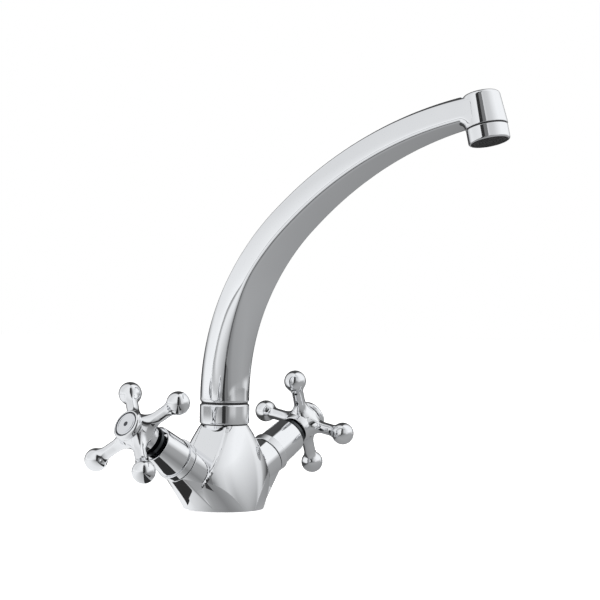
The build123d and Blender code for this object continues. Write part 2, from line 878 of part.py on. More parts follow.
def make_aerator_housing():
    """Round housing that screws into the head and holds the insert."""
    inside = aerator_radius - aerator_wall - aerator_lip
    thread_top = head_start + aerator_thread_height
    with BuildPart() as aerator_housing:
        with BuildSketch(head_section()):
            with BuildLine():
                Polyline(
                    (inside - aerator_lip, 0),
                    (aerator_radius - aerator_lip / 2, 0),
                    (aerator_radius, aerator_lip / 2),
                    (aerator_radius, aerator_height),
                    (aerator_thread_radius, aerator_height),
                    (aerator_thread_radius, thread_top),
                    (inside, thread_top),
                    (inside, aerator_lip_height),
                    (inside - aerator_lip, aerator_lip_height),
                    close=True,
                )
            make_face()
        revolve(axis=head_axis())
    save(aerator_housing.part, "aerator_housing")


def make_aerator_insert():
    """Plastic insert of the aerator, with a ring of jets."""
    insert_radius = aerator_radius - aerator_wall - aerator_lip - slip_clearance
    start = aerator_lip_height + screen_thickness
    with BuildPart() as aerator_insert:
        with BuildSketch(head_plane(start)):
            Circle(insert_radius)
            with PolarLocations(insert_radius * 0.6, 12):
                Circle(screen_hole_radius * 1.4, mode=Mode.SUBTRACT)
        extrude(amount=insert_height)
    save(aerator_insert.part, "aerator_insert")


def make_aerator_screen():
    """Flat screen across the outlet."""
    screen_radius = aerator_radius - aerator_wall - aerator_lip - slip_clearance
    with BuildPart() as aerator_screen:
        with BuildSketch(head_plane(aerator_lip_height)):
            Circle(screen_radius)
            with GridLocations(screen_pitch, screen_pitch, 5, 5):
                Circle(screen_hole_radius, mode=Mode.SUBTRACT)
        extrude(amount=screen_thickness)
    save(aerator_screen.part, "aerator_screen")


def make_aerator_washer():
    """Rubber washer between the housing and the head."""
    washer_start = head_start + aerator_thread_height
    with BuildPart() as aerator_washer:
        with BuildSketch(head_plane(washer_start)):
            Circle(aerator_thread_radius)
            Circle(waterway_radius + aerator_wall, mode=Mode.SUBTRACT)
        extrude(amount=outlet_washer_height)
    save(aerator_washer.part, "aerator_washer")


# ---------------------------------------------------------------- build

make_body_casting()
make_base_gasket()
make_spout_collar()
make_spout_slip_ring()
make_spout_retaining_ring()
make_spout()
for ring_name, ring_depth in tail_ring_depths.items():
    make_spout_o_ring(ring_name, ring_depth)
make_aerator_housing()
make_aerator_insert()
make_aerator_screen()
make_aerator_washer()
for side_name, side_sign in SIDES.items():
    make_headwork_washer(side_name, side_sign)
    make_headwork_body(side_name, side_sign)
    make_seat_seal(side_name, side_sign)
    make_fixed_disc(side_name, side_sign)
    make_moving_disc(side_name, side_sign)
    make_valve_skirt(side_name, side_sign)
    make_spindle(side_name, side_sign)
    make_spindle_o_ring(side_name, side_sign)
    make_spindle_clip(side_name, side_sign)
    make_cross_handle(side_name, side_sign)
    make_handle_screw(side_name, side_sign)
    make_cap_ring(side_name, side_sign)
    make_index_disc(side_name, side_sign)
    make_index_dot(side_name, side_sign)
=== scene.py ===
import json
import logging
from dataclasses import dataclass, field
from enum import Enum
from functools import cached_property
from math import asin, atan2, copysign, cos, degrees, radians, sin, sqrt, tau
from typing import Callable

import bmesh
import bpy
from mathutils import Matrix, Vector

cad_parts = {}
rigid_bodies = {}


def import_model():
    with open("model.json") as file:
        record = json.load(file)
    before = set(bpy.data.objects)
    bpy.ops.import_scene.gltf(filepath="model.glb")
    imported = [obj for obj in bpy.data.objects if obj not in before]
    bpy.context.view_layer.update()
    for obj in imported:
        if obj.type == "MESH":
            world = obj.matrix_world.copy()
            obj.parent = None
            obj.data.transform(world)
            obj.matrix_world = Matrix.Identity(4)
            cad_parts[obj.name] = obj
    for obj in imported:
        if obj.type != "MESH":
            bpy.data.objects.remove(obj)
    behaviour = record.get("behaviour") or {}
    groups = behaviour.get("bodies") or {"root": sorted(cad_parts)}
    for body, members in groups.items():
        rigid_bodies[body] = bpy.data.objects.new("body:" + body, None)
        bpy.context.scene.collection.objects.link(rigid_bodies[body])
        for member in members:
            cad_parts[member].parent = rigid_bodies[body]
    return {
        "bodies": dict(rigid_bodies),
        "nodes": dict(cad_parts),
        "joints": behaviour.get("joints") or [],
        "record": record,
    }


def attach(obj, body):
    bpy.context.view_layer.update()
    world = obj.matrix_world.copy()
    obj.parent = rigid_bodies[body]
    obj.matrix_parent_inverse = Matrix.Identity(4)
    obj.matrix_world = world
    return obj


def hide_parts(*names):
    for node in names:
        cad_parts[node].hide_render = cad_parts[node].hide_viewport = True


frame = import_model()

# A two handle kitchen faucet: chrome arch spout, cross handles with ball ends.
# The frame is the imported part's: origin on the deck, +Z up, spout along -Y.
# Shapes are drawn in millimetres and scaled to metres at the end. The studio is in metres.

LOG = logging.getLogger("faucet")
MM = 0.001
Shape = bmesh.types.BMesh

# Segments of turned shapes, from the most seen to the least.
FINEST, SMOOTH, ROUND, PLAIN, COARSE, COARSEST = 192, 160, 128, 96, 64, 48
# Points this close are one; vertices this near to a rim are on it; a cutter stands out so far.
MERGE, NEAR, CLEAR = 0.0005, 0.004, 5.0


class Handle(Enum):
    """The two handles, with the side of the part each stands on."""

    HOT = ("hot", -1)
    COLD = ("cold", 1)

    @property
    def word(self) -> str:
        """Name used in the node names."""
        return self.value[0]

    @property
    def side(self) -> int:
        """-1 for the hot side, +1 for the cold side."""
        return self.value[1]


# ---- shader maths


def overload(operation: str, reflected: bool = False) -> Callable:
    """Makes the method of one Python operator on sockets.

    Args:
        operation: Blender's name of the Math operation.
        reflected: Whether the socket stands to the operator's right.

    Returns:
        The method.
    """
    def method(self: "Sock", other: "Sock | float") -> "Sock":
        """Adds the Math node and gives its result."""
        values = [other, self] if reflected else [self, other]
        return self.tree.node("Math", values, operation=operation)
    return method


@dataclass
class Sock:
    """A node socket that takes part in Python expressions."""

    tree: "Tree"
    socket: bpy.types.NodeSocket

    __add__, __radd__ = overload("ADD"), overload("ADD", True)
    __sub__, __rsub__ = overload("SUBTRACT"), overload("SUBTRACT", True)
    __mul__, __rmul__ = overload("MULTIPLY"), overload("MULTIPLY", True)
    __pow__, __rpow__ = overload("POWER"), overload("POWER", True)

    def sibling(self, name: str) -> "Sock":
        """Another output of the same node."""
        return Sock(self.tree, self.socket.node.outputs[name])

    def clamp(self) -> "Sock":
        """Value held between 0 and 1."""
        return self.tree.node("Clamp", {"Value": self})


class Tree:
    """Node tree of a material or of the world, with one way to add a node."""

    def __init__(self, nodes: bpy.types.NodeTree) -> None:
        """Empties the tree that it stands for."""
        self.tree = nodes
        nodes.nodes.clear()

    def node(self, kind: str, inputs: dict | list, output: int | str = 0,
             **settings: object) -> Sock:
        """Adds a node, sets it and links it.

        Args:
            kind: Blender's node type, without its first word.
            inputs: Values or sockets, by socket name or in order.
            output: The output that is returned.
            **settings: Properties to set before the sockets; stops fills a colour ramp.

        Returns:
            The output, or an empty one where the node has none.
        """
        made = self.tree.nodes.new(f"ShaderNode{kind}")
        stops = settings.pop("stops", [])
        while stops and len(made.color_ramp.elements) < len(stops):
            made.color_ramp.elements.new(0.5)
        for number, (place, colour) in enumerate(stops):
            made.color_ramp.elements[number].position = place
            made.color_ramp.elements[number].color = (*colour, 1.0)
        for name, value in settings.items():
            setattr(made, name, value)
        for name, value in inputs.items() if isinstance(inputs, dict) else enumerate(inputs):
            if isinstance(value, Sock):
                self.tree.links.new(value.socket, made.inputs[name])
            else:
                made.inputs[name].default_value = value
        return Sock(self, made.outputs[output] if made.outputs else None)

    def surface(self, shader: Sock, kind: str = "Material") -> None:
        """Links a shader to the output of a material or of the world."""
        self.node(f"Output{kind}", {"Surface": shader})

    def noise(self, scale: float, detail: float) -> Sock:
        """Noise on the object's own coordinates, with its scale per metre."""
        place = self.node("TexCoord", {}, "Object")
        return self.node("TexNoise", {"Vector": place, "Scale": scale, "Detail": detail})

    def mix(self, share: Sock, first: "tuple | Sock", second: "tuple | Sock") -> Sock:
        """Mixes two colours by a share."""
        ends = [end if isinstance(end, Sock) else (*end, 1.0) for end in (first, second)]
        return self.node("Mix", {0: share, 6: ends[0], 7: ends[1]}, 2, data_type="RGBA")

    def bump(self, height: Sock, distance: float) -> Sock:
        """Normal from a height value, whose whole range is a distance in metres."""
        return self.node("Bump", {"Distance": distance, "Height": height})


def new_material(name: str) -> tuple:
    """Makes a material.

    Args:
        name: Its name.

    Returns:
        The material and its empty tree.
    """
    made = bpy.data.materials.new(name)
    made.use_nodes = True
    return made, Tree(made.node_tree)


# ---- finishes


@dataclass(frozen=True)
class Finish:
    """One finish of a material slot: its colours, gloss and the detail that breaks them up."""

    name: str
    slot: str
    colour: tuple
    shade: tuple
    metallic: float = 1.0
    roughness: float = 0.05
    roughness_spread: float = 0.02
    grain_depth: float = 0.0
    wave_depth: float = 0.0
    patch_scale: float = 45.0
    patch_contrast: float = 1.6
    patch_share: float = 0.6
    grain_scale: float = 900.0
    wave_scale: float = 60.0
    patch_detail: float = 3.0
    grain_detail: float = 2.0
    wave_detail: float = 1.0

    def material(self) -> bpy.types.Material:
        """Builds the finish once and gives it again later.

        Returns:
            The material.
        """
        found = bpy.data.materials.get(self.name)
        if found is not None:
            return found
        made, tree = new_material(self.name)
        patches = tree.noise(self.patch_scale, self.patch_detail)
        fine = tree.noise(self.grain_scale, self.grain_detail)
        mask = ((patches - 0.5) * self.patch_contrast + 0.5).clamp()
        uneven = patches * self.patch_share + fine * (1 - self.patch_share)
        inputs = {
            "Base Color": tree.mix(mask, self.colour, self.shade),
            "Metallic": self.metallic,
            "Roughness": self.roughness + self.roughness_spread * uneven,
        }
        if self.wave_depth:
            waves = tree.noise(self.wave_scale, self.wave_detail)
            inputs["Normal"] = tree.bump(waves, self.wave_depth)
        if self.grain_depth:
            inputs["Normal"] = tree.bump(fine, self.grain_depth)
        tree.surface(tree.node("BsdfPrincipled", inputs))
        return made


CHROME = Finish("polished_chrome", "chrome", (0.93, 0.935, 0.945), (0.90, 0.905, 0.92),
                roughness=0.035, roughness_spread=0.03, wave_depth=0.00003)
CHROME_TURNED = Finish("turned_chrome", "chrome", (0.88, 0.885, 0.90), (0.84, 0.85, 0.875),
                       roughness=0.06, roughness_spread=0.03)
BRASS = Finish("machined_brass", "brass", (0.72, 0.55, 0.26), (0.60, 0.43, 0.18),
               1.0, 0.22, 0.12, 0.00001)
# Near-black brass: painted shade for the CAD nodes that sit in shaded gaps and openings.
SHADED = Finish("painted_shade_brass", "brass", (0.10, 0.105, 0.11), (0.06, 0.065, 0.07),
                1.0, 0.22, 0.12)
STEEL = Finish("spring_steel", "steel", (0.52, 0.52, 0.52), (0.42, 0.42, 0.43),
               1.0, 0.25, 0.15, 0.00001)
CERAMIC = Finish("lapped_ceramic", "ceramic", (0.90, 0.89, 0.85), (0.84, 0.83, 0.79),
                 0.0, 0.18, 0.08)
ACETAL = Finish("white_acetal", "acetal", (0.80, 0.80, 0.78), (0.72, 0.72, 0.70),
                0.0, 0.38, 0.15, 0.00002)
FIBRE = Finish("red_fibre", "fibre", (0.30, 0.07, 0.05), (0.22, 0.05, 0.04),
               0.0, 0.65, 0.2, 0.00004)
# Black rubber for the rubber parts, and painted shade for the black rings and outlet face put in
# gaps.
RUBBER_AND_SHADE = Finish("black_rubber_and_shade", "rubber", (0.018, 0.018, 0.019), (0.028, 0.028, 0.029),
                0.0, 0.55, 0.2, 0.00003)
# Dark enamel for enamel parts, and painted shade for the black rings in the cap's gaps.
ENAMEL_AND_SHADE = Finish("dark_enamel_and_shade", "enamel", (0.02, 0.022, 0.03), (0.03, 0.032, 0.04), 0.0, 0.2, 0.08)

SLOT_FINISH = {
    finish.slot: finish
    for finish in (CHROME, BRASS, STEEL, CERAMIC, ACETAL, FIBRE, RUBBER_AND_SHADE, ENAMEL_AND_SHADE)
}
# Endings of the CAD nodes in gaps and openings where shade falls; they get a near-black colour as
# painted shade.
DARK_NODES = ("headwork_body", "_spindle", "spindle_clip", "headwork_washer", "aerator_insert",
              "aerator_screen")


def dress(piece: bpy.types.Object, finish: Finish) -> None:
    """Gives a piece one finish in all its slots."""
    piece.data.materials.clear()
    piece.data.materials.append(finish.material())


# ---- mesh tools


def bevelled(shape: Shape, edges: list, size: float, steps: int) -> None:
    """Rounds some edges of a shape.

    Args:
        shape: The shape.
        edges: The edges.
        size: Size of the round.
        steps: Its segments.
    """
    bmesh.ops.bevel(
        shape, geom=edges, offset=size, offset_type="OFFSET", segments=steps, profile=0.5,
        affect="EDGES", material=-1,
    )


def spun(points: list, segments: int = PLAIN, rims: list = (), steps: int = 4) -> Shape:
    """Spins a profile about the axis and rounds its rims.

    Args:
        points: (radius, height) along the profile, which is closed where it starts off the axis.
        segments: Steps of the turn.
        rims: (radius, height, size of the round) of each rim.
        steps: Segments of a round.

    Returns:
        The closed shell.
    """
    shape = bmesh.new()
    line = [shape.verts.new((radius, 0.0, height)) for radius, height in points]
    back = line[:1] if points[0][0] > 0 else []
    for pair in zip(line, line[1:] + back):
        shape.edges.new(pair)
    bmesh.ops.spin(
        shape, geom=shape.verts[:] + shape.edges[:], cent=(0, 0, 0), axis=(0, 0, 1), angle=tau,
        steps=segments, use_merge=True,
    )
    bmesh.ops.remove_doubles(shape, verts=shape.verts, dist=MERGE)
    bmesh.ops.recalc_face_normals(shape, faces=shape.faces)
    for radius, height, size in rims:
        def near(vert: bmesh.types.BMVert) -> bool:
            """Whether a vertex is on the rim."""
            return abs(vert.co.z - height) + abs(vert.co.xy.length - radius) < NEAR
        bevelled(shape, [edge for edge in shape.edges if all(map(near, edge.verts))], size, steps)
    return shape


def swept(tip: tuple, centre: tuple, turn: float, steps: int = 10) -> list:
    """Sweeps a point round a centre.

    Args:
        tip: The point, which isn't repeated.
        centre: The centre.
        turn: Degrees, anticlockwise with the radius to the right and the height up.
        steps: Number of short lines.

    Returns:
        The points of the arc.
    """
    middle, turns = Vector(centre), [radians(turn) * k / steps for k in range(1, steps + 1)]
    return [middle + Matrix.Rotation(angle, 2) @ (Vector(tip) - middle) for angle in turns]


def ring_shell(inner: float, outer: float, low: float, high: float, segments: int = PLAIN) -> Shape:
    """Plain ring between two radii and two heights, or a rod where the inner radius is 0."""
    return spun([(inner, low), (outer, low), (outer, high), (inner, high)], segments)


def lofted(rings: list) -> Shape:
    """Extrudes a closed ring through a list of places and closes both ends.

    Args:
        rings: The rings, each a list of as many points.

    Returns:
        The closed shell.
    """
    shape = bmesh.new()
    ring = [shape.verts.new(point) for point in rings[0]]
    edges = [shape.edges.new(pair) for pair in zip(ring, ring[1:] + ring[:1])]
    shape.faces.new(ring)
    for places in rings[1:]:
        grown = bmesh.ops.extrude_edge_only(shape, edges=edges)["geom"]
        fresh = {item for item in grown if isinstance(item, bmesh.types.BMVert)}
        edges = [
            item for item in grown
            if isinstance(item, bmesh.types.BMEdge) and set(item.verts) <= fresh
        ]
        ring = [
            next(e.other_vert(v) for e in v.link_edges if e.other_vert(v) in fresh) for v in ring
        ]
        for vert, place in zip(ring, places):
            vert.co = place
    shape.faces.new(ring)
    bmesh.ops.recalc_face_normals(shape, faces=shape.faces)
    return shape


def moved(shape: Shape, matrix: Matrix) -> Shape:
    """Transforms a shape and gives it back."""
    bmesh.ops.transform(shape, matrix=matrix, verts=shape.verts)
    return shape


def to_mesh(name: str, shape: Shape) -> bpy.types.Mesh:
    """Turns a shape into a mesh and frees it.

    Args:
        name: The mesh's name.
        shape: The shape.

    Returns:
        The mesh.
    """
    mesh = bpy.data.meshes.new(name)
    shape.to_mesh(mesh)
    shape.free()
    return mesh


def in_scene(name: str, data: bpy.types.ID) -> bpy.types.Object:
    """Makes an object of a mesh, a camera or a lamp in the scene."""
    bpy.context.scene.collection.objects.link(thing := bpy.data.objects.new(name, data))
    return thing


def joined(*shapes: Shape) -> Shape:
    """Puts several shells into one shape.

    Args:
        *shapes: The shells, which are freed.

    Returns:
        The shape.
    """
    whole = bmesh.new()
    for shape in shapes:
        mesh = to_mesh("shell", shape)
        whole.from_mesh(mesh)
        bpy.data.meshes.remove(mesh)
    return whole


def carved(shape: Shape, cutter: Shape) -> Shape:
    """Cuts closed shells out of a closed shell.

    Args:
        shape: The shell that is cut.
        cutter: The shells that are taken out.

    Returns:
        What is left.
    """
    things = [in_scene("cut", to_mesh("cut", part)) for part in (shape, cutter)]
    cut = things[0].modifiers.new("cut", "BOOLEAN")
    cut.operation = "DIFFERENCE"
    cut.solver = "MANIFOLD"
    cut.object = things[1]
    graph = bpy.context.evaluated_depsgraph_get()
    left = bpy.data.meshes.new_from_object(things[0].evaluated_get(graph))
    result = bmesh.new()
    result.from_mesh(left)
    for thing in things:
        mesh = thing.data
        bpy.data.objects.remove(thing)
        bpy.data.meshes.remove(mesh)
    bpy.data.meshes.remove(left)
    return result


def between(first: float, second: float, share: float) -> float:
    """Value between two values."""
    return first + (second - first) * share


def arc_through(start: Vector, middle: Vector, end: Vector, steps: int) -> list:
    """Points on the flat arc through three points, both ends included.

    Args:
        start: First point, in two dimensions.
        middle: A point of the arc.
        end: Last point.
        steps: Number of short lines.

    Returns:
        The points, or those of a straight line where the three are in line.
    """
    turn = (middle - start).cross(end - start)
    if abs(turn) < 1e-6:
        return [start.lerp(end, step / steps) for step in range(steps + 1)]
    lengths = [point.length_squared for point in (start, middle, end)]
    across = (middle.y - end.y, end.y - start.y, start.y - middle.y)
    along = (end.x - middle.x, start.x - end.x, middle.x - start.x)
    centre = Vector([
        sum(a * b for a, b in zip(lengths, runs)) / (2 * turn) for runs in (across, along)
    ])
    first, last = start - centre, end - centre
    swing = first.angle_signed(last)
    if first.angle_signed(middle - centre) * swing < 0:
        swing -= copysign(tau, swing)
    return [
        centre + Matrix.Rotation(-swing * step / steps, 2) @ first for step in range(steps + 1)
    ]


def rounded_ring(sides: list, rounds: list, steps: int = 7) -> list:
    """Joins four or more sides to a ring whose corners are rounded.

    Args:
        sides: Lists of points; each starts where the last one ends.
        rounds: Length taken off each side of the corner at a side's start.
        steps: Short lines in each rounded corner.

    Returns:
        The ring's points, without a repeated one.
    """
    def trimmed(points: list, cut: float) -> list:
        """Takes a length off the start of a side.

        Args:
            points: The side's points.
            cut: The length.

        Returns:
            The new start and the points after it.
        """
        rest = list(points)
        while len(rest) > 2 and (rest[1] - points[0]).length <= cut:
            rest.pop(0)
        share = min(1.0, cut / max(1e-9, (rest[1] - points[0]).length))
        return [points[0].lerp(rest[1], share)] + rest[1:]

    short = []
    for place, points in enumerate(sides):
        kept = trimmed(points, rounds[place])
        kept = trimmed(kept[::-1], rounds[(place + 1) % len(sides)])[::-1]
        short.append(resampled(kept, len(points) - 1))
    ring = []
    for place, points in enumerate(short):
        corner, last = sides[place][0], short[place - 1][-1]
        for step in range(1, steps):
            t = step / steps
            ring.append(last * (1 - t) ** 2 + corner * 2 * t * (1 - t) + points[0] * t ** 2)
        ring.extend(points)
    return ring


def resampled(points: list, steps: int) -> list:
    """Spreads points evenly along a line of points.

    Args:
        points: The line.
        steps: Number of short lines in its place.

    Returns:
        The points.
    """
    runs = [0.0]
    for first, second in zip(points, points[1:]):
        runs.append(runs[-1] + (second - first).length)
    spread, place = [], 0
    for step in range(steps + 1):
        goal = runs[-1] * step / steps
        while place < len(points) - 2 and runs[place + 1] < goal:
            place += 1
        span = max(1e-9, runs[place + 1] - runs[place])
        spread.append(points[place].lerp(points[place + 1], (goal - runs[place]) / span))
    return spread


def new_piece(name: str, shape: Shape, finish: Finish, body: str, *replaced: str,
              crease: float = 32.0) -> None:
    """Makes an object of a shape in millimetres, smooths it, dresses it and puts it on its body.

    Args:
        name: The piece's name.
        shape: Its shape, which is freed.
        finish: Its finish, which also says its slot.
        body: The CAD body that it rides on.
        *replaced: The CAD nodes that it stands for.
        crease: Edges sharper than this many degrees stay sharp.
    """
    mesh = to_mesh(name, moved(shape, Matrix.Scale(MM, 4)))
    mesh.polygons.foreach_set("use_smooth", [True] * len(mesh.polygons))
    mesh.set_sharp_from_angle(angle=radians(crease))
    piece = in_scene(name, mesh)
    evened = piece.modifiers.new("even_normals", "WEIGHTED_NORMAL")
    evened.keep_sharp = True
    evened.mode = "FACE_AREA"
    dress(piece, finish)
    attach(piece, body)
    if replaced:
        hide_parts(*replaced)
    LOG.info("%s: %d faces on %s", name, len(mesh.polygons), body)


def frame_at(place: Vector, x_axis: Vector, y_axis: Vector, z_axis: Vector) -> Matrix:
    """Frame at a place with the given axes."""
    return Matrix.Translation(place) @ Matrix((x_axis, y_axis, z_axis)).transposed().to_4x4()


# ---- sub-assemblies


def valve_frame(handle: Handle, lean: float = 30.0, root: float = 9.0) -> Matrix:
    """Frame of one valve: Z runs out along it, X points to its upper side.

    Args:
        handle: The side of the part.
        lean: Angle of the valve above the deck, in degrees.
        root: Height where the two valve axes meet.

    Returns:
        The frame in millimetres.
    """
    side, tilt = handle.side, radians(lean)
    out = Vector((side * cos(tilt), 0, sin(tilt)))
    up = Vector((-side * sin(tilt), 0, cos(tilt)))
    return frame_at(Vector((0, 0, root)), up, out.cross(up), out)


@dataclass
class Casting:
    """The body casting: round base, belly, neck, two arms and the horns under them."""

    base: float = 25.9
    belly: tuple = (35.1, 23.5, 17.3)
    neck: float = 15.4
    neck_height: float = 53.5
    levels: int = 48
    flank: float = 31.0
    flank_round: float = 2.2
    flank_steps: int = 6
    stub: tuple = (13.0, 51.5, 62.0)
    neck_bore: tuple = (10.5, 38.0, 80.0)
    arm: float = 13.4
    arm_end: float = 44.4
    arm_round: float = 0.4
    arm_bore: tuple = (10.25, 31.5, 60.0)
    recess: tuple = (12.3, 0.8)
    horn_top_half: float = 11.9
    horn_base_half: float = 15.0
    horn_base_keel: float = 3.0
    horn_angles: tuple = (37.0, 17.8)
    horn_rounds: tuple = (0.3, 0.9, 0.7, 0.7, 0.9, 0.3)
    horn_rings: int = 24
    horn_steps: tuple = (8, 6, 5)
    horn_reach: float = 0.985
    gasket: tuple = (19.5, 23.6, 2.0)
    inlet: tuple = (4.5, 12.0, 8.5, 5.0)
    stud: tuple = (3.35, 12.0, -10.0)

    def size_at(self, height: float) -> tuple:
        """Half width and half depth of the belly and neck.

        Args:
            height: Height above the deck.

        Returns:
            The two sizes.
        """
        low, high = self.belly[2], self.neck_height
        first = (height - low) * (height - high) / (low * high)
        second = height * (height - high) / (low * (low - high))
        third = height * (height - low) / (high * (high - low))
        return tuple(
            first * self.base + second * half + third * self.neck for half in self.belly[:2]
        )

    def belly_shell(self) -> Shape:
        """Base, belly and neck with their two flanks, bored from above and below.

        Returns:
            The shell.
        """
        rings = []
        for step in range(self.levels + 1):
            height = self.neck_height * step / self.levels
            wide, deep = self.size_at(height)
            rings.append([
                Vector((wide * cos(turn), deep * sin(turn), height))
                for turn in (tau * place / SMOOTH for place in range(SMOOTH))
            ])
        shape = lofted(rings)
        for handle in Handle:
            frame = valve_frame(handle)
            out = frame.to_3x3() @ Vector((0, 0, 1))
            cut = bmesh.ops.bisect_plane(
                shape, geom=shape.verts[:] + shape.edges[:] + shape.faces[:], dist=MERGE,
                plane_co=frame.translation + out * self.flank, plane_no=out, clear_outer=True,
            )["geom_cut"]
            rim = [item for item in cut if isinstance(item, bmesh.types.BMEdge)]
            bmesh.ops.contextual_create(shape, geom=rim)
            bevelled(shape, rim, self.flank_round, self.flank_steps)
        bmesh.ops.recalc_face_normals(shape, faces=shape.faces)
        inner, outer, groove = self.gasket
        radius, deep, across, forward = self.inlet
        knives = [ring_shell(0, *self.neck_bore), ring_shell(inner, outer, -CLEAR, groove)]
        for place_x, place_y, size, length in (
            (-across, forward, radius, deep), (across, forward, radius, deep),
            (0.0, self.stud[2], self.stud[0], self.stud[1]),
        ):
            hole = ring_shell(0, size, -CLEAR, length, COARSEST)
            knives.append(moved(hole, Matrix.Translation((place_x, place_y, 0))))
        return carved(shape, joined(*knives))

    def stub_shell(self) -> Shape:
        """Threaded stub that the collar screws on."""
        return ring_shell(self.neck_bore[0], *self.stub)

    def arm_shell(self) -> Shape:
        """One arm with its recess and bore, in the valve's frame.

        Returns:
            The shell.
        """
        bore, floor, _ = self.arm_bore
        wide, deep = self.recess
        arm, end, start = self.arm, self.arm_end, self.flank - self.arm
        return spun([
            (0, start), (arm, start), (arm, end), (wide, end), (wide, end - deep),
            (bore, end - deep), (bore, floor), (0, floor),
        ], ROUND, [(arm, end, self.arm_round)])

    def horn_ring(self, radius: float, back: float, halves: tuple) -> list:
        """Ring of the horn in two dimensions: back, two facets, keel and two facets.

        Args:
            radius: Radius of the circle that the keel and the facets' corners stand on.
            back: Place of the back.
            halves: Half widths at the back, at the facets' corners and at the keel.

        Returns:
            The ring's points.
        """
        places = (back, *(-sqrt(radius**2 - half**2) for half in halves[1:]))
        corner, facet, keel = (Vector(point) for point in zip(places, halves))
        corner_2, facet_2, keel_2 = (Vector((x, -half)) for x, half in zip(places, halves))
        long, short, round_steps = self.horn_steps
        return rounded_ring([
            resampled([corner, facet], long), resampled([facet, keel], short),
            arc_through(keel, Vector((-radius, 0)), keel_2, short),
            resampled([keel_2, facet_2], short), resampled([facet_2, corner_2], long),
            resampled([corner_2, corner], long),
        ], self.horn_rounds, round_steps)

    def horn_shell(self, handle: Handle) -> Shape:
        """Faceted horn from the base up to the end of one arm, cleared from the arm's bore.

        Args:
            handle: The side of the part.

        Returns:
            The shell.
        """
        arm, half = self.arm, self.horn_top_half
        lower = [arm * sin(radians(angle)) for angle in self.horn_angles]
        high = self.horn_ring(arm, sqrt(arm**2 - half**2), (half, *lower))
        half = self.horn_base_half
        low = self.horn_ring(self.base, 0, (half, half, self.horn_base_keel))
        frame, side = valve_frame(handle), handle.side
        ends = (
            [Vector((-side * point.x, -side * point.y, 0)) for point in low],
            [frame @ Vector((point.x, point.y, self.arm_end)) for point in high],
        )
        rings = [
            [a.lerp(b, self.horn_reach * step / self.horn_rings) for a, b in zip(*ends)]
            for step in range(self.horn_rings + 1)
        ]
        return carved(lofted(rings), moved(ring_shell(0, *self.arm_bore), frame))

    def build(self) -> None:
        """Makes the casting's piece."""
        shells = [self.belly_shell(), self.stub_shell()]
        for handle in Handle:
            arm = moved(self.arm_shell(), valve_frame(handle))
            shells += [arm, self.horn_shell(handle)]
        new_piece("casting_polished", joined(*shells), CHROME, "fixture", "body_casting")


@dataclass
class Collar:
    """Union nut between the casting and the spout, with black rings as painted shade in the gaps
    under and over it.
    """

    radius: float = 16.0
    start: float = 54.1
    end: float = 67.05
    thread: float = 13.05
    bore: float = 10.5
    lip: float = 1.75
    rim: float = 1.3
    rim_steps: int = 6
    # Black rings that fill the gaps under and over the collar: painted shade.
    shade_rings: tuple = ((13.1, 15.0, 53.52, 54.08), (11.0, 15.0, 67.07, 68.03))

    def build(self) -> None:
        """Makes the collar's pieces."""
        low, high, radius = self.start, self.end, self.radius
        shape = spun([
            (self.thread, low), (radius, low), (radius, high), (self.bore, high),
            (self.bore, high - self.lip), (self.thread, high - self.lip),
        ], SMOOTH, [(radius, low, self.rim), (radius, high, self.rim)], self.rim_steps)
        new_piece("collar_polished", shape, CHROME, "fixture", "spout_collar")
        # The gap rings are black, as painted shade.
        for name, shade_ring in zip(("lower_shade_ring", "upper_shade_ring"), self.shade_rings):
            new_piece(name, ring_shell(*shade_ring), RUBBER_AND_SHADE, "fixture")


